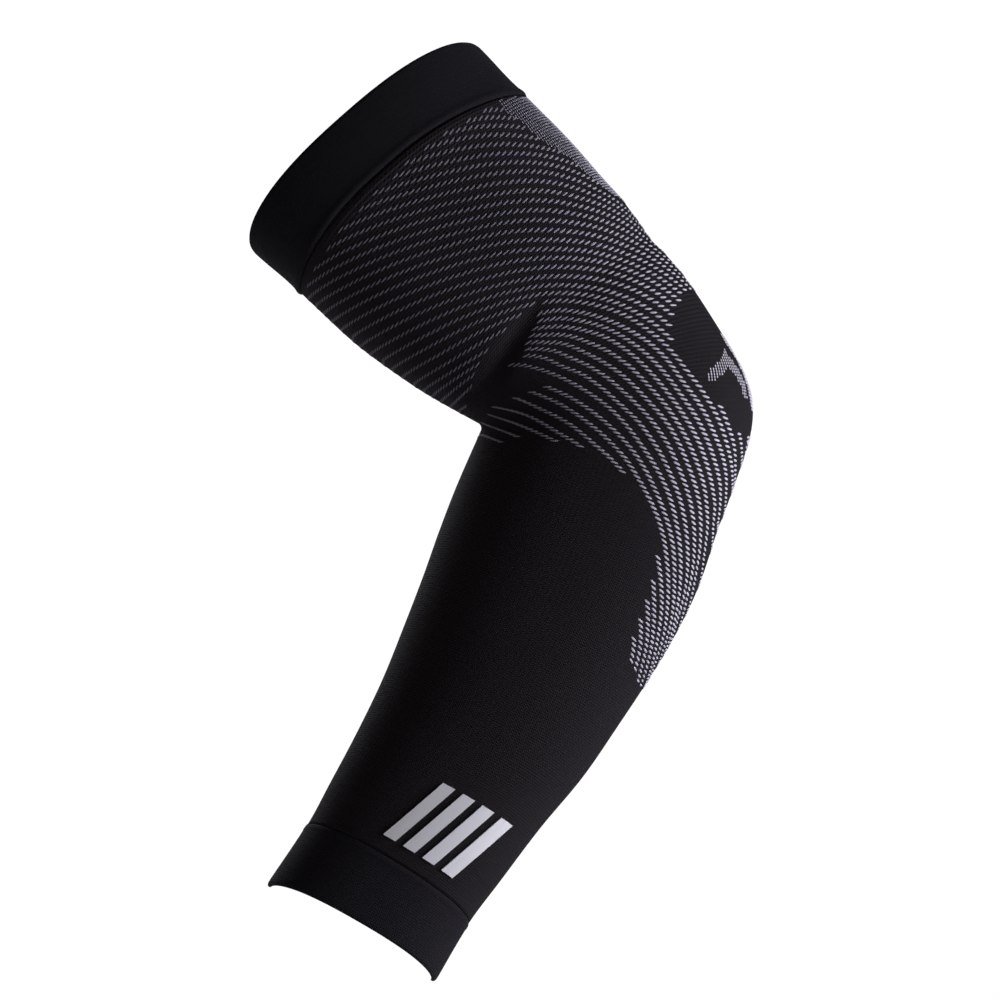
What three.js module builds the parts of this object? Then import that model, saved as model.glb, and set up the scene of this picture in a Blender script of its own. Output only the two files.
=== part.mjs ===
// Arm compression sleeve, in the bent form that it has on an arm.
// Millimetres, +Z up. The origin is the middle of the elbow.
// +X points from the crook towards the tip of the elbow, and Y is the depth of the sleeve.
import * as THREE from 'three';

// The two halves of the tube: lengths from the middle of the elbow, and tilts in degrees.
const UPPER_LENGTH = 148;
const FOREARM_LENGTH = 243;
const UPPER_TILT = 42.5;
const FOREARM_TILT = 62;

// Outer sizes of the tube: across, as seen from the side, and deep, along Y.
const UPPER_WIDTH = 120;
const FOREARM_WIDTH = 105;
const UPPER_DEPTH = 98;
const FOREARM_DEPTH = 86;
const ELBOW_DEPTH = 87;

// The elbow: from its middle to the crook, from the crook to the outside, and the tip's bump.
const CROOK_REACH = 67;
const CROOK_RADIUS = 2.5;
const UPPER_REACH = 102.9;
const FOREARM_REACH = 105;
const TIP_HEIGHT = 7.2;
const TIP_DIRECTION = 5;
const TIP_SPREAD = 9.8;

// How far the middle of the near and far side rides up towards the shoulder.
const RIM_BOW = 13;
const ELBOW_BOW = 6;
const WRIST_BOW = 8.5;

// Section outline: the power of an ellipse that is squared a little, and of the bow across it.
const OUTLINE_POWER = 2.4;
const BOW_POWER = 1.15;

// Cloth: one layer of knit, the turned welt at the top, and the hem at the wrist.
const KNIT_WALL = 1.2;
const CUFF_WALL = 2.4;
const CUFF_WIDTH = 29.6;
const CUFF_PROUD = 0.6;
const HEM_WALL = 2;
const HEM_WIDTH = 28;
const HEM_PROUD = 0.4;
const SEAM_GAP = 0.3;

// The fold that the crook presses into both sides.
const CREASE_START = 5;
const CREASE_LENGTH = 58;
const CREASE_DIRECTION = 57;
const CREASE_DEPTH = 4.5;
const CREASE_HALF_WIDTH = 4;

// The print near the wrist: slanted bars of white film on the near side.
const BAR_COUNT = 4;
const BAR_WIDTH = 5.4;
const BAR_PITCH = 8.8;
const BAR_HEIGHT = 30;
const BAR_SLANT = 9;
const BAR_FILM = 0.4;
const BAR_ABOVE_HEM = 7;
const BAR_AROUND = 10;

// Fineness of the mesh.
const ROUND_STEPS = 40;
const UPPER_STEPS = 11;
const ELBOW_STEPS = 12;
const FOREARM_STEPS = 14;
const BAR_STEPS_UP = 8;
const BAR_STEPS_ACROSS = 2;

// Sections of the upper arm, from the crook's end to the rim.
// along is a share of UPPER_LENGTH, lean is in degrees from square to the arm,
// inner and outer are shares of UPPER_WIDTH, depth of UPPER_DEPTH and bow of RIM_BOW.
const UPPER_SECTIONS = [
  { along: 0.40, lean: -1.5, inner: 0.460, outer: 0.449, depth: 0.93, bow: 0.48 },
  { along: 0.48, lean: -2.0, inner: 0.479, outer: 0.458, depth: 0.95, bow: 0.44 },
  { along: 0.64, lean: -3.0, inner: 0.503, outer: 0.478, depth: 0.97, bow: 0.38 },
  { along: 0.80, lean: -3.5, inner: 0.503, outer: 0.487, depth: 0.98, bow: 0.38 },
  { along: 0.90, lean: -4.5, inner: 0.501, outer: 0.492, depth: 1.00, bow: 0.68 },
  { along: 1.00, lean: -6.0, inner: 0.508, outer: 0.503, depth: 0.99, bow: 1.00 },
];

// Sections of the forearm, from the crook's end to the wrist, with the same columns
// as shares of FOREARM_LENGTH, FOREARM_WIDTH, FOREARM_DEPTH and WRIST_BOW.
const FOREARM_SECTIONS = [
  { along: 0.25, lean: 5.0, inner: 0.465, outer: 0.533, depth: 1.00, bow: 0.75 },
  { along: 0.33, lean: 4.5, inner: 0.443, outer: 0.540, depth: 0.99, bow: 0.80 },
  { along: 0.41, lean: 4.0, inner: 0.416, outer: 0.531, depth: 0.96, bow: 0.85 },
  { along: 0.50, lean: 3.0, inner: 0.391, outer: 0.510, depth: 0.92, bow: 0.88 },
  { along: 0.60, lean: 2.0, inner: 0.367, outer: 0.482, depth: 0.87, bow: 0.90 },
  { along: 0.70, lean: 0.0, inner: 0.358, outer: 0.430, depth: 0.81, bow: 0.93 },
  { along: 0.80, lean: -2.0, inner: 0.358, outer: 0.391, depth: 0.75, bow: 0.96 },
  { along: 0.885, lean: -3.5, inner: 0.360, outer: 0.360, depth: 0.70, bow: 1.00 },
  { along: 1.00, lean: -2.0, inner: 0.387, outer: 0.348, depth: 0.68, bow: 1.00 },
];

// Outer face of the welt across its width, from the rim to the seam:
// at is a share of CUFF_WIDTH, proud a share of CUFF_PROUD. The last rows are its ridge.
const CUFF_FACE = [
  { at: 0.00, proud: -0.6 },
  { at: 0.05, proud: 0.4 },
  { at: 0.35, proud: 0.8 },
  { at: 0.70, proud: 0.6 },
  { at: 0.86, proud: 0.8 },
  { at: 0.95, proud: 1.5 },
  { at: 1.00, proud: 0.5 },
];

// Outer face of the hem, from the seam to the wrist's edge, as shares of HEM_WIDTH and HEM_PROUD.
const HEM_FACE = [
  { at: 0.00, proud: 0.2 },
  { at: 0.06, proud: 1.2 },
  { at: 0.40, proud: 0.8 },
  { at: 0.94, proud: 0.8 },
  { at: 1.00, proud: -0.6 },
];

const turnTo = (degrees) => {
  const turn = THREE.MathUtils.degToRad(degrees);
  return new THREE.Vector2(Math.cos(turn), Math.sin(turn));
};
const mix = THREE.MathUtils.lerp;

// Each half as it lies in the side view: axis is its direction away from the elbow,
// square is the direction, in degrees, from the crook's side to the outer side.
const upperArm = {
  length: UPPER_LENGTH,
  axis: turnTo(180 - UPPER_TILT),
  square: 90 - UPPER_TILT,
  crookLean: -1,
  crookReach: UPPER_REACH,
};
const forearm = {
  length: FOREARM_LENGTH,
  axis: turnTo(180 + FOREARM_TILT),
  square: FOREARM_TILT - 90,
  crookLean: 6,
  crookReach: FOREARM_REACH,
};
const crook = turnTo(180 + (FOREARM_TILT - UPPER_TILT) / 2).multiplyScalar(CROOK_REACH);

// The section where a half meets the crook, in millimetres, with the tables' columns.
function crookRow(half) {
  const across = turnTo(half.square + half.crookLean);
  const toAxis = -crook.cross(half.axis) / across.cross(half.axis);
  const onAxis = crook.clone().addScaledVector(across, toAxis);
  return {
    along: onAxis.dot(half.axis),
    lean: half.crookLean,
    inner: toAxis - CROOK_RADIUS,
    outer: half.crookReach - toAxis,
    depth: ELBOW_DEPTH,
    bow: ELBOW_BOW,
  };
}

// A table's rows in millimetres, with the crook's row in front.
function rowsInMillimetres(half, table, width, depth, bow) {
  const rows = table.map((row) => ({
    along: row.along * half.length,
    lean: row.lean,
    inner: row.inner * width,
    outer: row.outer * width,
    depth: row.depth * depth,
    bow: row.bow * bow,
  }));
  return [crookRow(half), ...rows];
}
upperArm.rows = rowsInMillimetres(upperArm, UPPER_SECTIONS, UPPER_WIDTH, UPPER_DEPTH, RIM_BOW);
forearm.rows = rowsInMillimetres(
  forearm, FOREARM_SECTIONS, FOREARM_WIDTH, FOREARM_DEPTH, WRIST_BOW);

// Smooth value of one column between rows, by a cubic through its neighbours.
function smooth(rows, place, column, at) {
  const last = rows.length - 1;
  let k = 0;
  while (k < last - 1 && at > rows[k + 1][place]) k += 1;
  const rise = (a, b) => (rows[b][column] - rows[a][column]) / (rows[b][place] - rows[a][place]);
  const span = rows[k + 1][place] - rows[k][place];
  const startRise = rise(Math.max(k - 1, 0), k + 1);
  const endRise = rise(k, Math.min(k + 2, last));
  const t = (at - rows[k][place]) / span;
  const bend = (1 - t) * (startRise - rise(k, k + 1)) + t * (rise(k, k + 1) - endRise);
  return mix(rows[k][column], rows[k + 1][column], t) + t * (1 - t) * span * bend;
}

// A section of the tube: its inner and outer ends in the side view, its half depth and its bow.
function armSection(half, along) {
  const value = (column) => smooth(half.rows, 'along', column, along);
  const across = turnTo(half.square + value('lean'));
  const middle = half.axis.clone().multiplyScalar(along);
  return {
    across,
    inner: middle.clone().addScaledVector(across, -value('inner')),
    outer: middle.clone().addScaledVector(across, value('outer')),
    halfDepth: value('depth') / 2,
    bow: value('bow'),
  };
}

// A section of the fan that turns round the crook, from the upper arm at 0 to the forearm at 1.
function elbowSection(share) {
  const turn = mix(upperArm.square + upperArm.crookLean, forearm.square + forearm.crookLean, share);
  const across = turnTo(turn);
  const fromTip = (turn - TIP_DIRECTION) / TIP_SPREAD;
  const bump = TIP_HEIGHT * Math.exp(-fromTip * fromTip / 2);
  const reach = mix(UPPER_REACH, FOREARM_REACH, share) + bump;
  return {
    across,
    inner: crook.clone().addScaledVector(across, CROOK_RADIUS),
    outer: crook.clone().addScaledVector(across, reach),
    halfDepth: ELBOW_DEPTH / 2,
    bow: ELBOW_BOW,
  };
}

// How deep the crook's fold presses in at a point of the side view.
const creaseRun = turnTo(CREASE_DIRECTION);
const creaseFrom = crook.clone().addScaledVector(upperArm.axis, CREASE_START);
function creaseAt(spot) {
  const away = spot.clone().sub(creaseFrom);
  const run = away.dot(creaseRun) / CREASE_LENGTH;
  const off = away.cross(creaseRun) / CREASE_HALF_WIDTH;
  if (run < 0 || run > 1) return 0;
  return CREASE_DEPTH * (1 - run * run) * Math.exp(-off * off);
}

// A sine or cosine made a little squarer, and the turn whose cosine comes out as a given share.
const squared = (value) => Math.sign(value) * Math.abs(value) ** (2 / OUTLINE_POWER);
const turnAt = (share) => Math.acos(Math.sign(share) * Math.abs(share) ** (OUTLINE_POWER / 2));

// A point on a section: turn 0 is the outer side, a quarter turn is the near side.
// sunk is how far the face lies inside the tube's outer size.
function clothPoint(section, turn, sunk) {
  const { across, inner, outer, halfDepth, bow } = section;
  const middle = inner.clone().add(outer).multiplyScalar(0.5);
  const halfWidth = inner.distanceTo(outer) / 2 - sunk;
  const side = squared(Math.sin(turn));
  const shoulderwards = new THREE.Vector2(-across.y, across.x);
  const spot = middle.addScaledVector(across, halfWidth * squared(Math.cos(turn)));
  spot.addScaledVector(shoulderwards, bow * Math.abs(side) ** BOW_POWER);
  const depth = side * (halfDepth - sunk - creaseAt(spot) * Math.abs(side));
  return new THREE.Vector3(spot.x, -depth, spot.y);
}

// One closed ring of cloth: outer faces down the sections, then inner faces back up.
// Each loop is { section, sunk }, and neighbouring loops are joined by triangles.
function clothTube(loops) {
  const positions = [];
  for (const { section, sunk } of loops) {
    for (let k = 0; k < ROUND_STEPS; k += 1) {
      positions.push(...clothPoint(section, (2 * Math.PI * k) / ROUND_STEPS, sunk).toArray());
    }
  }
  const faces = [];
  for (let j = 0; j < loops.length; j += 1) {
    const here = j * ROUND_STEPS;
    const next = ((j + 1) % loops.length) * ROUND_STEPS;
    for (let k = 0; k < ROUND_STEPS; k += 1) {
      const beside = (k + 1) % ROUND_STEPS;
      faces.push(here + k, here + beside, next + beside, here + k, next + beside, next + k);
    }
  }
  const geometry = new THREE.BufferGeometry();
  geometry.setAttribute('position', new THREE.Float32BufferAttribute(positions, 3));
  geometry.setIndex(faces);
  geometry.computeVertexNormals();
  return geometry;
}

const materials = {
  knit: { color: 0x101014, roughness: 0.9, metalness: 0 },
  welt: { color: 0x17171c, roughness: 0.88, metalness: 0 },
  film: { color: 0xf2f2f2, roughness: 0.45, metalness: 0 },
};

function namedMesh(name, geometry, finish) {
  const mesh = new THREE.Mesh(geometry, new THREE.MeshStandardMaterial(materials[finish]));
  mesh.name = name;
  return mesh;
}

const steps = (count) => Array.from({ length: count + 1 }, (_, k) => k / count);

// The welt at the top, doubled over, with a slight ridge where it is knitted to the tube.
function upperCuff() {
  const place = (at) => armSection(upperArm, UPPER_LENGTH - at * (CUFF_WIDTH - SEAM_GAP / 2));
  const face = CUFF_FACE.map(({ at, proud }) => ({
    section: place(at),
    sunk: -proud * CUFF_PROUD,
  }));
  const back = [...CUFF_FACE].reverse().map(({ at }) => ({
    section: place(at),
    sunk: CUFF_WALL - CUFF_PROUD,
  }));
  return clothTube([...face, ...back]);
}

// The tube itself, from the welt's seam round the elbow to the hem's seam.
function sleeveBody() {
  const top = UPPER_LENGTH - CUFF_WIDTH - SEAM_GAP / 2;
  const bottom = FOREARM_LENGTH - HEM_WIDTH - SEAM_GAP / 2;
  const upperEnd = upperArm.rows[0].along;
  const lowerEnd = forearm.rows[0].along;
  const sections = [
    ...steps(UPPER_STEPS).map((t) => armSection(upperArm, mix(top, upperEnd, 1 - (1 - t) ** 1.4))),
    ...steps(ELBOW_STEPS).slice(1).map((t) => elbowSection(t)),
    ...steps(FOREARM_STEPS).slice(1).map((t) => armSection(forearm, mix(lowerEnd, bottom, t))),
  ];
  const face = sections.map((section) => ({ section, sunk: 0 }));
  const back = sections.map((section) => ({ section, sunk: KNIT_WALL })).reverse();
  return clothTube([...face, ...back]);
}

// The hem at the wrist, turned in and stitched flat.
function wristHem() {
  const from = FOREARM_LENGTH - HEM_WIDTH + SEAM_GAP / 2;
  const place = (at) => armSection(forearm, mix(from, FOREARM_LENGTH, at));
  const face = HEM_FACE.map(({ at, proud }) => ({
    section: place(at),
    sunk: -proud * HEM_PROUD,
  }));
  const back = [...HEM_FACE].reverse().map(({ at }) => ({
    section: place(at),
    sunk: HEM_WALL - HEM_PROUD,
  }));
  return clothTube([...face, ...back]);
}

// One slanted bar of film, curved over the near side of the forearm above the hem.
function printBar(index) {
  const low = FOREARM_LENGTH - HEM_WIDTH - BAR_ABOVE_HEM;
  const first = BAR_AROUND - ((BAR_COUNT - 1) * BAR_PITCH) / 2;
  const spot = (across, up, lift) => {
    const section = armSection(forearm, low - up * BAR_HEIGHT);
    const halfWidth = section.inner.distanceTo(section.outer) / 2;
    const off = first + index * BAR_PITCH + (up - 0.5) * BAR_SLANT + (across - 0.5) * BAR_WIDTH;
    return clothPoint(section, turnAt(off / halfWidth), -lift).toArray();
  };
  const positions = [];
  for (const lift of [SEAM_GAP, SEAM_GAP + BAR_FILM]) {
    for (const up of steps(BAR_STEPS_UP)) {
      for (const across of steps(BAR_STEPS_ACROSS)) positions.push(...spot(across, up, lift));
    }
  }
  const row = BAR_STEPS_ACROSS + 1;
  const layer = row * (BAR_STEPS_UP + 1);
  const faces = [];
  const quad = (a, b, c, d) => faces.push(a, b, c, a, c, d);
  for (let j = 0; j < BAR_STEPS_UP; j += 1) {
    for (let k = 0; k < BAR_STEPS_ACROSS; k += 1) {
      const a = j * row + k;
      quad(a, a + row, a + row + 1, a + 1);
      quad(layer + a, layer + a + 1, layer + a + row + 1, layer + a + row);
    }
    const left = j * row;
    const right = left + BAR_STEPS_ACROSS;
    quad(left, layer + left, layer + left + row, left + row);
    quad(right, right + row, layer + right + row, layer + right);
  }
  for (let k = 0; k < BAR_STEPS_ACROSS; k += 1) {
    const top = BAR_STEPS_UP * row + k;
    quad(k, k + 1, layer + k + 1, layer + k);
    quad(top, layer + top, layer + top + 1, top + 1);
  }
  const geometry = new THREE.BufferGeometry();
  geometry.setAttribute('position', new THREE.Float32BufferAttribute(positions, 3));
  geometry.setIndex(faces);
  geometry.computeVertexNormals();
  return geometry;
}

const sleeve = new THREE.Group();
sleeve.add(namedMesh('upper_cuff', upperCuff(), 'welt'));
sleeve.add(namedMesh('sleeve_body', sleeveBody(), 'knit'));
sleeve.add(namedMesh('wrist_hem', wristHem(), 'welt'));
for (let k = 0; k < BAR_COUNT; k += 1) {
  sleeve.add(namedMesh(`print_bar_${k + 1}`, printBar(k), 'film'));
}

export default sleeve;
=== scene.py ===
import math

import bpy
import numpy as np
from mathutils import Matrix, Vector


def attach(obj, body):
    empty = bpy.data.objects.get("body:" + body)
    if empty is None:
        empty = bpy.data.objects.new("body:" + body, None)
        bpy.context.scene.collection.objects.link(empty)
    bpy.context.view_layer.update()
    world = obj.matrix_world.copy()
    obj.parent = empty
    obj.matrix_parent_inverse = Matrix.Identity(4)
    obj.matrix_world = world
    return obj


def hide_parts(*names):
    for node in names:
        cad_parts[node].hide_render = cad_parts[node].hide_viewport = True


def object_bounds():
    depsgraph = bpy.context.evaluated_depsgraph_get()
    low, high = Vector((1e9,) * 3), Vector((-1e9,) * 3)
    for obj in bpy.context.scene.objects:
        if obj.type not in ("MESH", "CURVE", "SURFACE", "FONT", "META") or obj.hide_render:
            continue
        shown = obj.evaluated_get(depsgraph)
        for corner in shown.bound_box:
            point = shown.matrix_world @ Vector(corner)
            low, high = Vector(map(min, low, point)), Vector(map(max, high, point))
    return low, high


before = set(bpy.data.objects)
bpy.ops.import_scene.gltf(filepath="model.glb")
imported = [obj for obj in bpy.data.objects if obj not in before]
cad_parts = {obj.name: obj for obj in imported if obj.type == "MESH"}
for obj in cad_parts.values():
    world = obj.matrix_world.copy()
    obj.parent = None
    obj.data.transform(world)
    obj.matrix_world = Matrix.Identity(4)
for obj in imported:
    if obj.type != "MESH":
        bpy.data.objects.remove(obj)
cad_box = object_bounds()

# The studio: a pale seamless floor well below the sleeve, and soft light from the right.
# The camera looks level along +Y, through a long lens, and frames 400 mm of the sleeve's plane.
MM = 0.001
CAMERA_DISTANCE = 1800 * MM
FRAME_WIDTH = 400 * MM
SENSOR_WIDTH = 36.0
AIM = (-56 * MM, 0.0, -40 * MM)
FLOOR_DROP = 150 * MM
FLOOR_HALF = 9


def linear(hex_colour, alpha=1.0):
    """An sRGB hex colour as the linear colour that a shader takes."""
    parts = [int(hex_colour[k:k + 2], 16) / 255 for k in (1, 3, 5)]
    parts = [c / 12.92 if c <= 0.04045 else ((c + 0.055) / 1.055) ** 2.4 for c in parts]
    return (*parts, alpha)


def node(tree, kind, links=None, **settings):
    """Add a node, set its sockets and properties by name, and link sockets to it."""
    made = tree.nodes.new(kind)
    for name, value in settings.items():
        socket = made.inputs.get(name.replace("_", " "))
        if socket is not None:
            socket.default_value = value
        else:
            setattr(made, name, value)
    for name, source in (links or {}).items():
        tree.links.new(source, made.inputs[name])
    return made


def principled(name, **settings):
    """A new material, its node tree and its shader, with the shader's sockets set by name."""
    material = bpy.data.materials.new(name)
    material.use_nodes = True
    shader = material.node_tree.nodes["Principled BSDF"]
    for socket, value in settings.items():
        shader.inputs[socket.replace("_", " ")].default_value = value
    return material, material.node_tree, shader


camera_data = bpy.data.cameras.new("studio_camera")
camera_data.sensor_width = SENSOR_WIDTH
camera_data.lens = SENSOR_WIDTH * CAMERA_DISTANCE / FRAME_WIDTH
camera_data.clip_end = 20
camera = bpy.data.objects.new("studio_camera", camera_data)
camera.location = (AIM[0], AIM[1] - CAMERA_DISTANCE, AIM[2])
camera.rotation_euler = (math.radians(90), 0, 0)
bpy.context.scene.collection.objects.link(camera)
bpy.context.scene.camera = camera

bpy.context.scene.view_settings.view_transform = "Standard"

# The room is dim, so that black cloth stays black, and only what the camera sees of it is white.
ROOM_LIGHT, BACKDROP_GLOW = 0.07, 1.05
world = bpy.data.worlds.new("white_studio")
world.use_nodes = True
world_tree = world.node_tree
seen = node(world_tree, "ShaderNodeLightPath").outputs["Is Camera Ray"]
strength = node(world_tree, "ShaderNodeMix", {"Factor": seen}, data_type="FLOAT")
strength.inputs["A"].default_value = ROOM_LIGHT
strength.inputs["B"].default_value = BACKDROP_GLOW
world_tree.nodes["Background"].inputs["Color"].default_value = (1, 1, 1, 1)
world_tree.links.new(strength.outputs["Result"], world_tree.nodes["Background"].inputs["Strength"])
bpy.context.scene.world = world


def area_light(name, place, size, power, tint):
    """A soft rectangular lamp that points at the middle of the sleeve."""
    data = bpy.data.lights.new(name, "AREA")
    data.shape = "RECTANGLE"
    data.size, data.size_y = size
    data.energy = power
    data.color = linear(tint)[:3]
    lamp = bpy.data.objects.new(name, data)
    lamp.location = place
    toward = np.array(AIM) - np.array(place)
    lamp.rotation_euler = (
        math.atan2(math.hypot(toward[0], toward[1]), -toward[2]),
        0,
        math.atan2(toward[1], toward[0]) - math.pi / 2,
    )
    bpy.context.scene.collection.objects.link(lamp)


# Places and sizes in metres, power in watts.
area_light("key_from_right", (1.9, -0.62, -0.25), (0.9, 0.9), 66, "#f4f3ff")
area_light("low_from_right", (1.2, -0.45, -1.15), (0.8, 0.8), 34, "#ffe8e2")
area_light("high_behind", (-0.9, 1.7, 1.1), (1.4, 1.4), 26, "#f4f6ff")
area_light("warm_from_left", (-1.4, -0.1, -0.5), (0.8, 0.8), 2.0, "#ff8f72")

floor_mesh = bpy.data.meshes.new("studio_floor")
floor_z = cad_box[0][2] - FLOOR_DROP
floor_corners = [(x * FLOOR_HALF, y * FLOOR_HALF, floor_z)
                 for x, y in ((-1, -1), (1, -1), (1, 1), (-1, 1))]
floor_mesh.from_pydata(floor_corners, [], [(0, 1, 2, 3)])
floor = bpy.data.objects.new("studio_floor", floor_mesh)
bpy.context.scene.collection.objects.link(floor)
# Matt studio paint, which shines white to the camera only.
floor_paint, floor_tree, paint = principled(
    "white_studio_paint", Base_Color=linear("#e8e8e8"), Roughness=0.9)
glow = node(floor_tree, "ShaderNodeEmission", Strength=BACKDROP_GLOW)
seen = node(floor_tree, "ShaderNodeLightPath").outputs["Is Camera Ray"]
lit = node(floor_tree, "ShaderNodeMixShader", {0: seen, 1: paint.outputs[0], 2: glow.outputs[0]})
floor_tree.links.new(lit.outputs[0], floor_tree.nodes["Material Output"].inputs["Surface"])
floor_mesh.materials.append(floor_paint)


# The knitted tube: one layer of black nylon and elastane, knitted round on a small cylinder
# without a seam. It narrows towards the wrist, and its courses run round the arm.
# The bent arm lays it in a fan round the crook, which presses a fold into both sides.
UPPER_LENGTH, FOREARM_LENGTH = 148, 243
UPPER_TILT, FOREARM_TILT = 42.5, 62
UPPER_WIDTH, FOREARM_WIDTH = 120, 105
UPPER_DEPTH, FOREARM_DEPTH, ELBOW_DEPTH = 98, 86, 87
CROOK_REACH, CROOK_RADIUS = 67, 2.5
UPPER_REACH, FOREARM_REACH = 102.9, 105
TIP_HEIGHT, TIP_DIRECTION, TIP_SPREAD = 7.2, 5, 9.8
RIM_BOW, ELBOW_BOW, WRIST_BOW = 13, 6, 8.5
OUTLINE_POWER, BOW_POWER = 2.4, 1.15
UPPER_LEAN, FOREARM_LEAN = -1, 6
KNIT_WALL = 1.2
CUFF_WIDTH, HEM_WIDTH, SEAM_GAP = 29.6, 28, 0.3
CREASE_START, CREASE_LENGTH, CREASE_DIRECTION = 5, 58, 57
CREASE_DEPTH, CREASE_HALF_WIDTH = 4.5, 4
ELBOW_SPAN = 62
SIDE_RISE, INNER_RISE, RISE_REACH, RISE_FADE = 6.5, 5.5, 45, 1.5
# The knit's courses are 1 mm apart. Its tone wanders over patches of about 55 mm.
COURSE, WALES_PER_COURSE, MEAN_GIRTH = 1.0, 0.8, 290
CLOTH_TONES_PER_MM = 0.018
ROUND_STEPS, DOWN_STEP = 200, 1.5

# Sections from the crook's end outwards: along, lean in degrees, inner, outer, depth, bow.
UPPER_SECTIONS = (
    (0.40, -1.5, 0.460, 0.449, 0.93, 0.48),
    (0.48, -2.0, 0.479, 0.458, 0.95, 0.44),
    (0.64, -3.0, 0.503, 0.478, 0.97, 0.38),
    (0.80, -3.5, 0.503, 0.487, 0.98, 0.38),
    (0.90, -4.5, 0.501, 0.492, 1.00, 0.68),
    (1.00, -6.0, 0.508, 0.503, 0.99, 1.00),
)
FOREARM_SECTIONS = (
    (0.25, 5.0, 0.465, 0.533, 1.00, 0.75),
    (0.33, 4.5, 0.443, 0.540, 0.99, 0.80),
    (0.41, 4.0, 0.416, 0.531, 0.96, 0.85),
    (0.50, 3.0, 0.391, 0.510, 0.92, 0.88),
    (0.60, 2.0, 0.367, 0.482, 0.87, 0.90),
    (0.70, 0.0, 0.358, 0.430, 0.81, 0.93),
    (0.80, -2.0, 0.358, 0.391, 0.75, 0.96),
    (0.885, -3.5, 0.360, 0.360, 0.70, 1.00),
    (1.00, -2.0, 0.387, 0.348, 0.68, 1.00),
)


def turn_to(degrees):
    """Unit vectors in the side view for an array of directions."""
    turn = np.radians(degrees)
    return np.stack([np.cos(turn), np.sin(turn)], axis=-1)


def cross(a, b):
    return a[..., 0] * b[..., 1] - a[..., 1] * b[..., 0]


crook = CROOK_REACH * turn_to(180 + (FOREARM_TILT - UPPER_TILT) / 2)


def leg(axis_direction, square, lean, reach, table, sizes):
    """One half of the tube: its axis, its square direction and its rows in millimetres."""
    axis, across = turn_to(axis_direction), turn_to(square + lean)
    to_axis = -cross(crook, axis) / cross(across, axis)
    start = float((crook + across * to_axis) @ axis)
    first = (start, lean, to_axis - CROOK_RADIUS, reach - to_axis, ELBOW_DEPTH, ELBOW_BOW)
    rows = np.array([first, *(np.array(row) * sizes for row in table)], dtype=float)
    return {"axis": axis, "square": square, "rows": rows, "start": start}


upper_arm = leg(
    180 - UPPER_TILT, 90 - UPPER_TILT, UPPER_LEAN, UPPER_REACH, UPPER_SECTIONS,
    np.array([UPPER_LENGTH, 1, UPPER_WIDTH, UPPER_WIDTH, UPPER_DEPTH, RIM_BOW]))
forearm = leg(
    180 + FOREARM_TILT, FOREARM_TILT - 90, FOREARM_LEAN, FOREARM_REACH, FOREARM_SECTIONS,
    np.array([FOREARM_LENGTH, 1, FOREARM_WIDTH, FOREARM_WIDTH, FOREARM_DEPTH, WRIST_BOW]))
UPPER_SPAN = UPPER_LENGTH - upper_arm["start"]
WRIST_DOWN = UPPER_SPAN + ELBOW_SPAN + FOREARM_LENGTH - forearm["start"]


def smooth(rows, at):
    """All columns of a table at given places, by a cubic through the neighbouring rows."""
    places, values = rows[:, 0], rows[:, 1:]
    last = len(places) - 1
    k = np.clip(np.searchsorted(places, at, side="left") - 1, 0, last - 1)

    def rise(a, b):
        return (values[b] - values[a]) / (places[b] - places[a])[..., None]

    span = (places[k + 1] - places[k])[..., None]
    t = (at - places[k])[..., None] / span
    start, end = rise(np.maximum(k - 1, 0), k + 1), rise(k, np.minimum(k + 2, last))
    bend = (1 - t) * (start - rise(k, k + 1)) + t * (rise(k, k + 1) - end)
    return values[k] * (1 - t) + values[k + 1] * t + t * (1 - t) * span * bend


def leg_sections(half, along):
    lean, inner, outer, depth, bow = np.moveaxis(smooth(half["rows"], along), -1, 0)
    across = turn_to(half["square"] + lean)
    middle = along[..., None] * half["axis"]
    return (across, middle - across * inner[..., None], middle + across * outer[..., None],
            depth / 2, bow)


def fan_sections(share):
    turn = (90 - UPPER_TILT + UPPER_LEAN) * (1 - share) + (FOREARM_TILT - 90 + FOREARM_LEAN) * share
    across = turn_to(turn)
    bump = TIP_HEIGHT * np.exp(-(((turn - TIP_DIRECTION) / TIP_SPREAD) ** 2) / 2)
    reach = UPPER_REACH * (1 - share) + FOREARM_REACH * share + bump
    flat = np.ones_like(share)
    return (across, crook + across * CROOK_RADIUS, crook + across * reach[..., None],
            flat * ELBOW_DEPTH / 2, flat * ELBOW_BOW)


def sections(down):
    """Sections at millimetres down the sleeve, from the rim at 0 round the elbow to the wrist."""
    parts = (
        leg_sections(upper_arm, UPPER_LENGTH - np.minimum(down, UPPER_SPAN)),
        fan_sections(np.clip((down - UPPER_SPAN) / ELBOW_SPAN, 0, 1)),
        leg_sections(forearm, forearm["start"] + np.maximum(down - UPPER_SPAN - ELBOW_SPAN, 0)),
    )
    which = (down > UPPER_SPAN).astype(int) + (down > UPPER_SPAN + ELBOW_SPAN)
    picked = []
    for upper, fan, lower in zip(*parts):
        pick = which[..., None] if upper.ndim > which.ndim else which
        picked.append(np.where(pick == 0, upper, np.where(pick == 1, fan, lower)))
    return picked


def crease_at(spot):
    """How deep the crook's fold presses in at points of the side view."""
    run_way = turn_to(CREASE_DIRECTION)
    away = spot - crook - upper_arm["axis"] * CREASE_START
    run = away @ run_way / CREASE_LENGTH
    off = cross(away, run_way) / CREASE_HALF_WIDTH
    return np.where((run < 0) | (run > 1), 0, CREASE_DEPTH * (1 - run ** 2) * np.exp(-(off ** 2)))


def squared(value):
    return np.sign(value) * np.abs(value) ** (2 / OUTLINE_POWER)


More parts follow.
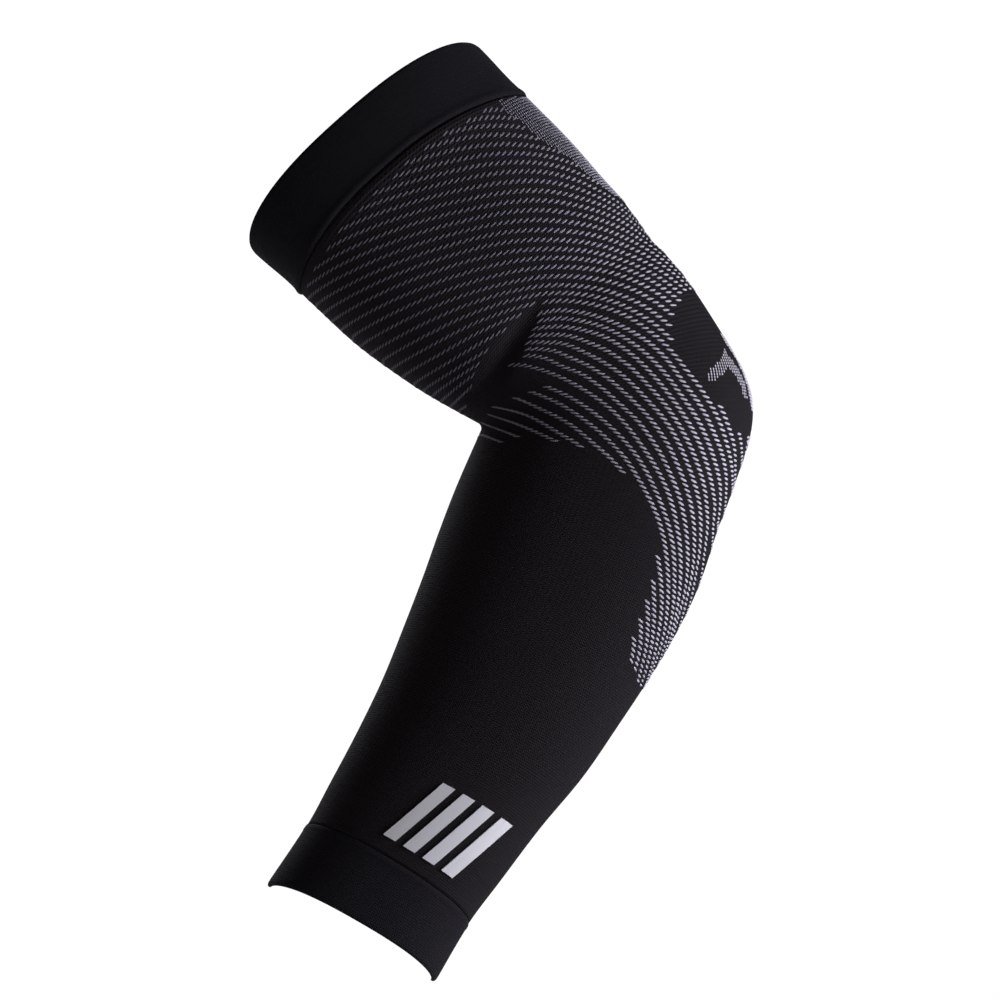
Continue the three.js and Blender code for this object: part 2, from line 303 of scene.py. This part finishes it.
def cloth_points(down, turn, sunk=0.0):
    """Points of the cloth in metres. turn 0 is the outer side, a quarter turn the near side."""
    down, turn, sunk = np.broadcast_arrays(
        *(np.asarray(value, dtype=float) for value in (down, turn, sunk)))
    across, inner, outer, half_depth, bow = sections(down)
    half_width = np.linalg.norm(outer - inner, axis=-1) / 2 - sunk
    side = squared(np.sin(turn))
    spot = (inner + outer) / 2 + across * (half_width * squared(np.cos(turn)))[..., None]
    shoulderwards = np.stack([-across[..., 1], across[..., 0]], axis=-1)
    spot = spot + shoulderwards * (bow * np.abs(side) ** BOW_POWER)[..., None]
    depth = side * (half_depth - sunk - crease_at(spot) * np.abs(side))
    return np.stack([spot[..., 0], -depth, spot[..., 1]], axis=-1) * MM


def seam_rise(turn):
    """How far the worn welt's lower edge is drawn up round the arm, none on the outer side."""
    return SIDE_RISE * np.sin(turn) ** 2 + INNER_RISE * (1 - np.cos(turn)) / 2


def closed_tube(name, loops):
    """A closed ring of cloth from (down, sunk, share of the seam's rise) loops: the outer face
    down, then the inner face up."""
    down, sunk, share = np.array(loops, dtype=float).T
    turn = np.arange(ROUND_STEPS) * 2 * math.pi / ROUND_STEPS
    risen = down[:, None] - share[:, None] * seam_rise(turn)[None, :]
    points = cloth_points(risen, turn[None, :], sunk[:, None])
    count = len(loops)
    here = np.arange(count)[:, None] * ROUND_STEPS + np.arange(ROUND_STEPS)[None, :]
    beside = np.roll(here, -1, axis=1)
    quads = np.stack([here, beside, np.roll(beside, -1, axis=0), np.roll(here, -1, axis=0)], axis=-1)
    mesh = bpy.data.meshes.new(name)
    mesh.from_pydata(points.reshape(-1, 3).tolist(), [], quads.reshape(-1, 4).tolist())
    grain = mesh.uv_layers.new(name="courses")
    size = (count + 1, ROUND_STEPS + 1)
    u = np.broadcast_to(np.arange(size[1]) / ROUND_STEPS, size) * MEAN_GIRTH * MM
    v = np.broadcast_to(np.append(down, down[0])[:, None], size) * MM
    j, k = np.divmod(np.arange(count * ROUND_STEPS), ROUND_STEPS)
    corners = [(j, k), (j, k + 1), (j + 1, k + 1), (j + 1, k)]
    uv = np.stack([np.stack([u[a, b], v[a, b]], axis=-1) for a, b in corners], axis=1)
    grain.data.foreach_set("uv", uv.reshape(-1))
    mesh.shade_smooth()
    made = bpy.data.objects.new(name, mesh)
    bpy.context.scene.collection.objects.link(made)
    return made


def knit_material(name, yarn, tint, depth):
    """Black nylon yarn over elastane: matt, with a faint sheen where the cloth turns away. Its
    courses and wales are a bump, with a depth in millimetres."""
    material, tree, shader = principled(
        name, Roughness=0.85, IOR=1.5, Specular_IOR_Level=0.1,
        Sheen_Weight=0.03, Sheen_Roughness=0.4, Sheen_Tint=linear(tint))
    place = node(tree, "ShaderNodeUVMap", uv_map="courses")
    turns = 2 * math.pi / (COURSE * MM)
    split = node(tree, "ShaderNodeSeparateXYZ", {"Vector": place.outputs[0]})
    rows = node(tree, "ShaderNodeMath", {0: split.outputs["Y"]}, operation="MULTIPLY")
    rows.inputs[1].default_value = turns
    wave = node(tree, "ShaderNodeMath", {0: rows.outputs[0]}, operation="SINE")
    wales = node(tree, "ShaderNodeMath", {0: split.outputs["X"]}, operation="MULTIPLY")
    wales.inputs[1].default_value = turns * WALES_PER_COURSE
    across = node(tree, "ShaderNodeMath", {0: wales.outputs[0]}, operation="SINE")
    loops = node(tree, "ShaderNodeMath", {0: wave.outputs[0], 1: across.outputs[0]},
                 operation="MULTIPLY_ADD")
    tree.links.new(wave.outputs[0], loops.inputs[2])
    bump = node(tree, "ShaderNodeBump", {"Height": loops.outputs[0]}, Strength=0.6,
                Distance=depth * MM)
    tree.links.new(bump.outputs[0], shader.inputs["Normal"])
    patch = node(tree, "ShaderNodeTexNoise", Scale=CLOTH_TONES_PER_MM / MM, Detail=3.0)
    body = node(tree, "ShaderNodeTexCoord")
    tree.links.new(body.outputs["Object"], patch.inputs["Vector"])
    shade = node(tree, "ShaderNodeMix", {"Factor": patch.outputs["Fac"]}, data_type="RGBA")
    shade.inputs["A"].default_value = linear(yarn[0])
    shade.inputs["B"].default_value = linear(yarn[1])
    tree.links.new(shade.outputs["Result"], shader.inputs["Base Color"])
    return material


body_top = CUFF_WIDTH + SEAM_GAP / 2
body_bottom = WRIST_DOWN - HEM_WIDTH - SEAM_GAP / 2
body_rows = np.linspace(body_top, body_bottom, int((body_bottom - body_top) / DOWN_STEP))
drawn_up = np.clip(1 - (body_rows - body_top) / RISE_REACH, 0, 1) ** RISE_FADE
tube = closed_tube("knitted_tube", [
    *((down, 0.0, share) for down, share in zip(body_rows, drawn_up)),
    *((down, KNIT_WALL, share) for down, share in zip(body_rows[::-1], drawn_up[::-1])),
])
tube.data.materials.append(
    knit_material("nylon_circular_knit", ("#201e20", "#262325"), "#8f86a8", 0.2))
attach(tube, "root")
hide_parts("sleeve_body")


# The top welt: the same yarn knitted double and turned in, so it grips the upper arm.
# A slight ridge shows where its inner layer is caught down to the tube.
CUFF_WALL, CUFF_PROUD = 2.4, 0.6
WELT_STEP = 0.9
# A band's face: share of its width, height as a share of how far it stands proud.
CUFF_FACE = (
    (0.000, -1.6), (0.006, -0.7), (0.02, 0.0), (0.05, 0.4), (0.20, 0.7), (0.35, 0.8),
    (0.55, 0.7), (0.70, 0.6), (0.80, 0.65), (0.86, 0.8), (0.905, 1.25), (0.93, 1.5),
    (0.95, 1.45), (0.97, 1.1), (0.985, 0.8), (1.00, 0.3),
)


def band_loops(start, width, face, proud, wall, drawn=0):
    """Loops of a doubled band: its face from a short table, resampled, and its flat back. Where
    drawn is 1, its lower edge follows the seam's rise."""
    at, height = np.array(face).T
    fine = np.unique(np.concatenate([at, np.arange(0, 1, WELT_STEP / width)]))
    out = [(start + a * width, -np.interp(a, at, height) * proud, a * drawn) for a in fine]
    back = [(start + a * width, wall - proud, a * drawn) for a in fine[::-1]]
    return out + back


welt = closed_tube("top_welt", band_loops(
    0, CUFF_WIDTH - SEAM_GAP / 2, CUFF_FACE, CUFF_PROUD, CUFF_WALL, drawn=1))
welt.data.materials.append(
    knit_material("nylon_double_welt", ("#17171a", "#1c1b1e"), "#9a90b0", 0.06))
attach(welt, "root")
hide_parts("upper_cuff")


# The wrist hem: the tube's end turned in and caught flat, a little thicker than one layer.
# Its stitched edge shows as a faint line round the forearm.
HEM_WALL, HEM_PROUD = 2, 0.4
HEM_FACE = (
    (0.00, -0.3), (0.02, 0.5), (0.04, 1.1), (0.07, 1.2), (0.10, 0.8), (0.40, 0.8),
    (0.90, 0.8), (0.94, 0.7), (0.97, 0.3), (0.99, -0.6), (1.00, -1.6),
)
hem = closed_tube("turned_hem", band_loops(
    WRIST_DOWN - HEM_WIDTH + SEAM_GAP / 2, HEM_WIDTH - SEAM_GAP / 2, HEM_FACE, HEM_PROUD, HEM_WALL))
hem.data.materials.append(
    knit_material("nylon_turned_hem", ("#1c1b1f", "#222024"), "#8f86a8", 0.12))
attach(hem, "root")
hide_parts("wrist_hem")


# The light stitches: grey-lilac yarn floated over the black one and knitted in with it. Rows of
# short slanted floats sweep from the cuff over the elbow and run down the outer forearm.
# They stop short of the crook's soft leaf, the elbow's two pads and the plain forearm.
STITCH_PITCH, FOREARM_PITCH = 2.6, 2.35
STITCH_GAP, STITCH_FOLLOW = 1.6, 0.8
FLOAT_LENGTH, OUTER_SHORTER, ROPE_LONGER = 4.1, 0.6, 0.4
FLOAT_WIDTH, OUTER_WIDER, ROPE_WIDER = 0.62, 0.4, 0.3
FLOAT_LIFT, INNER_SHARE, INNER_FLATTER = 0.3, 0.04, 0.6
# The floats' slant in degrees, by share of the way from the inner side to the outer.
SLANT_BY_SHARE = ((0.05, 0.35, 0.5, 0.9), (21, 26, 29, 42))
# Below the crook's fold the rows close up like rope, with floats that lie along them.
CROOK_SPOT, CROOK_ROPE, ROPE_TOP, ROPE_STRAIGHTER = (-58, -6), 14, 4, 0.8

# Guide rows by number, seen from the side: (x, up) in millimetres from the elbow's middle.
SWEEP_GUIDES = {
    -4: ((-104, 100), (-80, 112), (-64, 117.5), (-52, 119.5), (-32, 116), (-8, 102), (16, 78),
         (40, 36)),
    0: ((-116, 85.5), (-94, 97), (-69, 105), (-50, 106.5), (-30.5, 102.5), (-10, 93), (12, 72),
        (41, 22)),
    4: ((-126, 69.5), (-106, 79), (-81, 86.5), (-56.5, 91.5), (-36, 91.5), (-19, 86), (4, 71),
        (28, 43), (42.5, 16)),
    8: ((-132, 49), (-117.5, 57), (-93, 66.5), (-69, 73), (-43.5, 77), (-24, 75), (-6.5, 69),
        (16, 53), (36, 27), (45, 4)),
    12: ((-135, 30), (-105, 44.5), (-81, 53.5), (-56, 60), (-36, 61.5), (-16, 59.5), (6, 51),
         (24, 36), (38, 12), (45, -10)),
    16: ((-118, 18), (-92, 31), (-68, 40.5), (-43, 46.5), (-24, 47), (-5.5, 43), (11, 33),
         (26, 17), (39, -4), (47, -22)),
    19: ((-107, 8), (-86, 19), (-63.5, 30), (-43, 36.5), (-27, 37.5), (-9, 33), (5, 24), (12, 17),
         (17.5, 10), (23, 3), (30, -9), (35, -24), (36, -32), (34, -44), (31, -56)),
    22: ((-96, -2), (-80, 7.5), (-59, 19.5), (-42.5, 26.5), (-30, 27.5), (-13, 22.5), (2, 10.5),
         (17.5, -9.5), (27, -33), (29, -56), (26, -76)),
    26: ((-74, -5), (-69, -2.5), (-60, 6.5), (-52, 12), (-44, 12.5), (-29.5, 6.5), (-13, -4.5),
         (-1, -18.5), (9, -35.5), (14, -54), (15, -73), (12, -94), (6, -112)),
}
FOREARM_GUIDES = {
    20: ((-45, 31), (-39.5, 33), (-31, 34), (-16, 31), (0, 23), (9, 15), (16, 5.5), (23, -4),
         (29, -16), (32, -24), (33.5, -34), (32, -46), (28, -62)),
    22: ((-47, 26.5), (-42.5, 27), (-30, 27.5), (-13, 22.5), (2, 10.5), (17.5, -9.5),
         (24.5, -24), (28.5, -40), (28.5, -48), (27.5, -56), (25, -64), (21, -78)),
    24: ((-50, 20.5), (-45, 21.5), (-40, 21.5), (-31.5, 21), (-24, 18), (-14.5, 13), (-7, 7.5),
         (0.5, 0), (9.5, -10.5), (16, -22.5), (22, -40), (23, -56), (21, -72), (19, -80), (14, -96)),
    26: ((-54, 16), (-48, 16.5), (-39, 15.5), (-31.5, 12), (-24, 9), (-15.5, 3), (-9, -3),
         (-2.5, -9), (3.5, -17), (8, -24.5), (14.5, -40), (17.5, -56), (17.5, -72), (14, -88),
         (8, -106)),
    27: ((-57, 12.5), (-52, 13), (-44, 12), (-29.5, 6.5), (-13, -4.5), (-1, -18.5), (9, -35.5),
         (14, -54), (15, -71), (13, -88), (8, -104), (3, -116)),
    28: ((-63, 3), (-54, 6.5), (-46, 7), (-36, 3.5), (-26, -1.5), (-14, -10.5), (-3, -22.5),
         (5, -37), (11, -54), (12.5, -70), (11.5, -88), (7, -104), (3, -114)),
    29: ((-60, 0), (-50, 3.5), (-43, 2), (-31, -3.5), (-19, -12), (-12, -18.5), (-6, -25.5),
         (2, -39), (7, -51), (9.5, -65), (10, -80), (8, -96), (2, -113)),
    30: ((-63, -1), (-56, 1), (-50, 0), (-40, -4.5), (-29.5, -10), (-19, -18.5), (-10, -27),
         (-1.5, -39), (3.5, -52), (6, -64), (7.5, -78), (7, -88), (4.5, -104), (0, -117)),
    31: ((-64, -2.5), (-55, -4), (-45, -7), (-34.5, -13), (-25, -19), (-14, -29), (-5, -42),
         (1, -56), (3.5, -68), (4.5, -82), (4, -95), (2.5, -104), (-0.5, -115)),
    32: ((-65, -4), (-61, -6), (-51, -9.5), (-39.5, -14.5), (-26, -22), (-14, -34), (-6, -48),
         (-1, -64), (1.5, -78), (2, -88), (1.5, -98), (-2, -114)),
    34: ((-66, -13), (-56, -17), (-42, -23.5), (-28, -32.5), (-17, -45), (-10, -62), (-5, -80),
         (-3.5, -96), (-5, -106), (-8, -114)),
}
# Outlines of the places without floats, and of the two that have only the fine mesh, seen from
# the side in the same millimetres.
CROOK_LEAF = (
    (-39.5, 39), (-47, 33), (-53.5, 27), (-59, 21), (-63, 14.5), (-65.5, 9), (-69, -1), (-69.5, -7),
    (-64.5, -11), (-62.5, -7), (-56.5, -1.5), (-50, 1), (-36.5, 5), (-35, 7), (-44, 10.5),
    (-52.5, 11), (-52.5, 13.5), (-47, 17), (-44.5, 23), (-41.5, 31), (-39.5, 35),
)
PLAIN_FOREARM = (
    (-76, -20), (-65, -19.5), (-56.5, -17.5), (-49, -15.5), (-36.5, -17), (-24, -19.5),
    (-9.5, -28), (2, -40), (5.5, -49), (8, -59.5), (5, -62.5), (3.5, -72), (0.5, -81),
    (-1.5, -88.5), (-4.5, -96), (-5, -105), (-2.5, -109.5), (0, -116), (8, -128), (8, -300),
    (-200, -300), (-200, -20),
)
ELBOW_PADS = (
    (20.5, 43.5), (16, 41), (12, 34.5), (11, 25), (11.5, 19.5), (14, 16), (21, 7.5), (24.5, 6),
    (25, 1), (30, -2.5), (33, -5), (35, -8.5), (40, -15), (70, -15), (70, 43.5),
)
BEHIND_ARM = (
    (-59, 119), (-54, 112.5), (-47, 108), (-41, 102), (-35, 98.5), (-29, 95.5), (-22, 89),
    (-15, 83.5), (-10, 80), (40, 100), (-20, 150), (-62, 130),
)
ELBOW_STRIP = (
    (31.5, 26), (33.5, 22), (36, 18.5), (38.5, 14.5), (40.5, 9.5), (42, 5), (43, 0), (44, -4.5),
    (60, -4.5), (60, 26),
)
PAD_GAP = (
    (32.5, 20.5), (34, 17.5), (35.5, 16), (39, 10.5), (41, 6), (42, 0.5), (40.3, 0.5), (39, 5.5),
    (37, 9), (33.5, 12.5), (31.5, 9.5), (28.5, 6.5), (25, 7), (26, 11), (29, 13.5), (31, 16),
)


def in_zone(zone, spots):
    """True for places of the side view that lie inside a closed outline."""
    inside = np.zeros(spots.shape[:-1], dtype=bool)
    for (x0, up0), (x1, up1) in zip(zone, zone[1:] + zone[:1]):
        if up0 != up1:
            passed = (up0 > spots[..., 1]) != (up1 > spots[..., 1])
            inside ^= passed & (spots[..., 0] < x0 + (x1 - x0) * (spots[..., 1] - up0) / (up1 - up0))
    return inside


def turn_of(share):
    """The turn at a share across the side view, from -1 at the inner edge to 1 at the outer."""
    share = np.clip(share, -1, 1)
    return np.arccos(np.sign(share) * np.abs(share) ** (OUTLINE_POWER / 2))


def side_view(down, share):
    return cloth_points(down, turn_of(share))[..., ::2] / MM


def on_cloth(spots):
    """Where places of the side view lie on the near side, as (down, turn), found by Newton steps
    from the nearest point of a coarse grid. Places off the cloth drop out."""
    half = 50.0  # rough half width, so that the share across also counts in millimetres
    grid_step, columns, rounds = 2.5, 70, 6
    probe, damping, longest_step, near_enough = 0.2, 0.01, 2, 0.5
    down, share = np.meshgrid(np.arange(0.0, WRIST_DOWN, grid_step),
                              np.linspace(-0.995, 0.995, columns), indexing="ij")
    grid = side_view(down, share).reshape(-1, 2)
    near = [np.argmin(((grid - spot) ** 2).sum(axis=1)) for spot in spots]
    at = np.stack([down.ravel()[near], share.ravel()[near] * half], axis=-1)
    for _ in range(rounds):
        here = side_view(at[:, 0], at[:, 1] / half)
        by_down = (side_view(at[:, 0] + probe, at[:, 1] / half) - here) / probe
        by_share = (side_view(at[:, 0], (at[:, 1] - probe) / half) - here) / -probe
        slope = np.stack([by_down, by_share], axis=-1)
        back = np.swapaxes(slope, 1, 2)
        step = np.linalg.solve(
            back @ slope + damping * np.eye(2), back @ (spots - here)[..., None])
        at += np.clip(step[..., 0], -longest_step, longest_step)
        at[:, 1] = np.clip(at[:, 1], -0.9995 * half, 0.9995 * half)
    off = np.linalg.norm(spots - side_view(at[:, 0], at[:, 1] / half), axis=-1)
    found = off < near_enough
    return np.stack([at[found, 0], turn_of(at[found, 1] / half)], axis=-1)


def along_guide(points, count):
    """Evenly spaced places on a smooth curve through a guide's points."""
    points = np.array(points, dtype=float)
    run = np.append(0, np.cumsum(np.linalg.norm(np.diff(points, axis=0), axis=1)))
    return smooth(np.column_stack([run / run[-1], points]), np.linspace(0, 1, count))


def stations(path, pitch, first):
    """(down, turn) places a pitch apart along a path on the cloth, and its direction there."""
    finer, reach = 6, 0.8
    fine = np.linspace(0, len(path) - 1, len(path) * finer)
    path = np.stack([np.interp(fine, np.arange(len(path)), path[:, k]) for k in (0, 1)], axis=-1)
    points = cloth_points(path[:, 0], path[:, 1]) / MM
    run = np.append(0, np.cumsum(np.linalg.norm(np.diff(points, axis=0), axis=1)))
    at = np.arange(first, run[-1], pitch)
    places = np.stack([np.interp(at, run, path[:, k]) for k in (0, 1)], axis=-1)

    def point(where):
        return np.stack([np.interp(where, run, points[:, k]) for k in range(3)], axis=-1)

    return places, point(at + reach) - point(at - reach)


def outward(places):
    """Unit normals of the near side, pointing out of the cloth."""
    small_turn, small_step = 0.02, 0.4
    down, turn = places.T
    round_way = cloth_points(down, turn + small_turn) - cloth_points(down, turn - small_turn)
    down_way = cloth_points(down + small_step, turn) - cloth_points(down - small_step, turn)
    normal = np.cross(round_way, down_way)
    normal /= np.linalg.norm(normal, axis=-1, keepdims=True)
    return normal


YARN_SIDES = 6
# A float from its foot, sunk in the cloth, to its top: size of the ring, height in lifts.
YARN_RINGS = ((1.0, -0.6), (0.97, 0.25), (0.72, 0.8), (0.3, 1.0))


def float_mesh(name, places, along, slant, length, width, lift):
    """Low domes of yarn on the cloth, one at each place, and the same ones on the far side. Those
    on the line of the outer side itself come once."""
    sides = YARN_SIDES
    normal = outward(places)
    along = along - normal * (along * normal).sum(axis=-1, keepdims=True)
    along /= np.linalg.norm(along, axis=-1, keepdims=True)
    beside = np.cross(normal, along)
    slant = np.radians(slant)[:, None]
    main = along * np.cos(slant) + beside * np.sin(slant)
    cross_way = np.cross(normal, main)
    middle = cloth_points(places[:, 0], places[:, 1])
    turns = np.arange(sides) * 2 * math.pi / sides
    rings = []
    for size, height in YARN_RINGS:
        reach = np.cos(turns)[None, :, None] * main[:, None] * length[:, None, None] / 2
        spread = np.sin(turns)[None, :, None] * cross_way[:, None] * width[:, None, None] / 2
        rise = normal[:, None] * lift[:, None, None] * height
        rings.append(middle[:, None] + ((reach + spread) * size + rise) * MM)
    near = np.stack(rings, axis=1).reshape(len(places), -1, 3)
    here = np.arange(sides)
    beyond = (here + 1) % sides
    faces = [tuple(here[::-1])]
    for ring in range(len(rings) - 1):
        low, high = ring * sides, (ring + 1) * sides
        faces += [(low + a, low + b, high + b, high + a) for a, b in zip(here, beyond)]
    faces.append(tuple((len(rings) - 1) * sides + here))
    off_the_line = places[:, 1] > 0.001
    far = near[off_the_line] * (1, -1, 1)
    points = np.concatenate([near, far]).reshape(-1, 3)
    count, size = len(near), len(rings) * sides
    listed = [tuple(int(v) + k * size for v in face) for k in range(count) for face in faces]
    listed += [tuple(int(v) + (k + count) * size for v in face[::-1])
               for k in range(len(far)) for face in faces]
    mesh = bpy.data.meshes.new(name)
    mesh.from_pydata(points.tolist(), [], listed)
    mesh.shade_smooth()
    made = bpy.data.objects.new(name, mesh)
    bpy.context.scene.collection.objects.link(made)
    return made


# Painted shade on the yarn: full at the first X, gone by the second. Its tone changes every 1.1 mm.
PAINTED_SHADE_FULL_X, PAINTED_SHADE_END_X = -70, 45
YARN_TONES_PER_MM = 0.9


def yarn_material(name, colours, painted_shade_colour):
    """Spun nylon: matt, slightly uneven in tone. Towards -X, the arm's inner side, its colour
    fades into a darker one: painted shade, where the lamps light it least."""
    material, tree, shader = principled(name, Roughness=0.7, IOR=1.5, Specular_IOR_Level=0.3)
    place = node(tree, "ShaderNodeTexCoord")
    patch = node(tree, "ShaderNodeTexNoise", {"Vector": place.outputs["Object"]},
                 Scale=YARN_TONES_PER_MM / MM)
    shade = node(tree, "ShaderNodeMix", {"Factor": patch.outputs["Fac"]}, data_type="RGBA")
    shade.inputs["A"].default_value = linear(colours[0])
    shade.inputs["B"].default_value = linear(colours[1])
    # Painted shade: the colour fades to a darker one towards -X, where the lamps light the yarn
    # least.
    split = node(tree, "ShaderNodeSeparateXYZ", {"Vector": place.outputs["Object"]})
    unshaded_share = node(tree, "ShaderNodeMapRange", {"Value": split.outputs["X"]},
                 From_Min=PAINTED_SHADE_FULL_X * MM, From_Max=PAINTED_SHADE_END_X * MM, interpolation_type="SMOOTHSTEP")
    shaded_yarn = node(tree, "ShaderNodeMix", {"Factor": unshaded_share.outputs["Result"],
                 "B": shade.outputs["Result"]}, data_type="RGBA")
    shaded_yarn.inputs["A"].default_value = linear(painted_shade_colour)
    tree.links.new(shaded_yarn.outputs["Result"], shader.inputs["Base Color"])
    return material


ROW_POINTS = 90


def rows_between(guides):
    """Every row from the first guide to the last, each as its number and its side view line."""
    lines = np.array([along_guide(points, ROW_POINTS) for points in guides.values()])
    table = np.column_stack([list(guides), lines.reshape(len(lines), -1)]).astype(float)
    numbers = np.arange(min(guides), max(guides) + 1)
    return list(zip(numbers, smooth(table, numbers.astype(float)).reshape(-1, ROW_POINTS, 2)))


OUTER_TURN, OUTER_SLOPE, ARC_POINTS = 0.38, 60, 12


def round_the_outer_side(path):
    """Lead a row on over the outer side in an arc that meets its mirror row square. It starts
    with the row's own slope, taken over its first few points."""
    (down, turn), (down_on, turn_on) = path[0], path[4]
    slope = np.clip((down - down_on) / (turn_on - turn), -OUTER_SLOPE, OUTER_SLOPE)
    on = np.linspace(0, turn, ARC_POINTS)[:-1]
    arc = down + slope * (turn ** 2 - on ** 2) / (2 * turn)
    return np.vstack([np.column_stack([arc, on]), path])


# Below this row the crook's leaf parts the sweep's rows from the forearm's.
LAST_WHOLE_ROW = 19
LEAF_TOP, LEAF_SLOPE = (-40, 39), 0.578
# A row that comes closer than this to the outer or inner side runs on round it.
OUTER_JOIN, INNER_JOIN = 0.4, 2.75
# Even and odd rows start so many pitches in, which sets their floats like bricks.
BRICK_STARTS = (0.02, 0.5)
rows = [(number, line, 1 if number > LAST_WHOLE_ROW else 0)
        for number, line in rows_between(SWEEP_GUIDES)]
rows += [(number, line, -1) for number, line in rows_between(FOREARM_GUIDES)]
places, headings = [], []
for number, line, side in rows:
    leaf_middle = LEAF_TOP[0] - (LEAF_TOP[1] - line[:, 1]) * LEAF_SLOPE
    line = line[(leaf_middle - line[:, 0]) * side >= 0]
    path = on_cloth(line)[::-1]
    if path[0, 1] < OUTER_JOIN:
        path = round_the_outer_side(path[np.argmax(path[:, 1] > OUTER_TURN):])
    if path[-1, 1] > INNER_JOIN:
        path = np.vstack([path, (path[-1, 0], math.pi)])
    pitch = FOREARM_PITCH if side < 0 else STITCH_PITCH
    spots, heading = stations(path, pitch, pitch * BRICK_STARTS[number % 2])
    places.append(spots)
    headings.append(-heading)
places, headings = np.concatenate(places), np.concatenate(headings)
view = cloth_points(places[:, 0], places[:, 1])[:, ::2] / MM
shown = places[:, 0] > CUFF_WIDTH + STITCH_GAP - STITCH_FOLLOW * seam_rise(places[:, 1])
for zone in (CROOK_LEAF, PLAIN_FOREARM, ELBOW_PADS, BEHIND_ARM):
    shown &= ~in_zone(zone, view)
places, headings, view = places[shown], headings[shown], view[shown]
outer_share = np.clip(squared(np.cos(places[:, 1])) / 2 + 0.5, 0, 1)
rope = np.exp(-((np.linalg.norm(view - CROOK_SPOT, axis=1) / CROOK_ROPE) ** 2))
rope = rope * (view[:, 1] < ROPE_TOP)
floats = float_mesh(
    "light_floats", places, headings,
    slant=np.interp(outer_share, *SLANT_BY_SHARE) * (1 - ROPE_STRAIGHTER * rope),
    length=FLOAT_LENGTH - OUTER_SHORTER * outer_share + ROPE_LONGER * rope,
    width=FLOAT_WIDTH + OUTER_WIDER * outer_share + ROPE_WIDER * rope,
    lift=FLOAT_LIFT * (1 - INNER_FLATTER * (outer_share < INNER_SHARE)))
# The last colour is painted shade for the floats towards -X.
floats.data.materials.append(yarn_material("grey_lilac_yarn", ("#cbc8d5", "#e2dfea"), "#6a6873"))
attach(floats, "root")


# The fine mesh: the same yarn behind the upper arm, in a strip down the tip of the elbow and in
# the gap between its plain pads. It is knitted as small upright stitches in close lines that
# run down the arm. All the light stitches are part of the tube's one sheet.
MESH_LINE, MESH_PITCH, MESH_LEAN = 1.45, 1.3, 0.3
MESH_LENGTH, MESH_WIDTH, MESH_LIFT, MESH_SLANT = 1.15, 0.66, 0.22, -17
MESH_GAP, MESH_START, MESH_END, MESH_TURN = 1.0, CUFF_WIDTH - 3.0, 190, 1.9
# Lines are counted from the outer side, far enough for those that lean in from beyond it. Where
# none comes within a millimetre of it, one more runs along it.
MESH_LINES, MESH_FIRST, MESH_JOIN = np.arange(-90, 60) + 0.5, 0.4, 1.0
mesh_places = []
fine_turns = np.linspace(0, MESH_TURN, 80)
fine_down = np.arange(MESH_START, MESH_END, 0.5)
outer_edge = cloth_points(fine_down, 0.0) / MM
outer_run = np.append(0, np.cumsum(np.linalg.norm(np.diff(outer_edge, axis=0), axis=1)))
for run in np.arange(0, outer_run[-1], MESH_PITCH):
    down = np.interp(run, outer_run, fine_down)
    arc_points = cloth_points(down, fine_turns) / MM
    arc = np.append(0, np.cumsum(np.linalg.norm(np.diff(arc_points, axis=0), axis=1)))
    lines = MESH_LINE * MESH_LINES + MESH_LEAN * run
    lines = lines[(lines > MESH_FIRST) & (lines < arc[-1] - MESH_JOIN)]
    if lines[0] > MESH_JOIN:
        lines = np.append(0, lines)
    turns = np.interp(lines, arc, fine_turns)
    mesh_places.append(np.column_stack([np.full_like(turns, down), turns]))
mesh_places = np.concatenate(mesh_places)
mesh_view = cloth_points(mesh_places[:, 0], mesh_places[:, 1])[:, ::2] / MM
meshed = np.zeros(len(mesh_places), dtype=bool)
for zone in (BEHIND_ARM, ELBOW_STRIP, PAD_GAP):
    meshed |= in_zone(zone, mesh_view)
meshed &= mesh_places[:, 0] > CUFF_WIDTH + MESH_GAP - seam_rise(mesh_places[:, 1])
mesh_places = mesh_places[meshed]
down_way = (cloth_points(mesh_places[:, 0] + 1, mesh_places[:, 1])
            - cloth_points(mesh_places[:, 0] - 1, mesh_places[:, 1]))
each = np.ones(len(mesh_places))
fine_mesh = float_mesh(
    "fine_mesh_stitches", mesh_places, down_way, slant=MESH_SLANT * each,
    length=MESH_LENGTH * each, width=MESH_WIDTH * each, lift=MESH_LIFT * each)
# The last colour is painted shade for the fine mesh towards -X.
fine_mesh.data.materials.append(
    yarn_material("fine_grey_lilac_yarn", ("#dad7e2", "#efecf5"), "#8f8c9a"))
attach(fine_mesh, "root")


# The print: four bars of white transfer film, pressed on hot, satin and slightly textured
# by the knit below.
FILM_GRAINS_PER_MM, FILM_GRAIN_DEPTH = 1.2, 0.1
film, film_tree, film_shader = principled(
    "white_transfer_film", Base_Color=linear("#ececee"), Roughness=0.55, IOR=1.5)
film_place = node(film_tree, "ShaderNodeTexCoord")
film_grain = node(film_tree, "ShaderNodeTexNoise", {"Vector": film_place.outputs["Object"]},
                  Scale=FILM_GRAINS_PER_MM / MM)
film_bump = node(film_tree, "ShaderNodeBump", {"Height": film_grain.outputs["Fac"]}, Strength=0.3,
                 Distance=FILM_GRAIN_DEPTH * MM)
film_tree.links.new(film_bump.outputs[0], film_shader.inputs["Normal"])
for number in range(1, 5):
    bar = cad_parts[f"print_bar_{number}"]
    for slot in bar.material_slots:
        slot.link = "OBJECT"
        slot.material = film
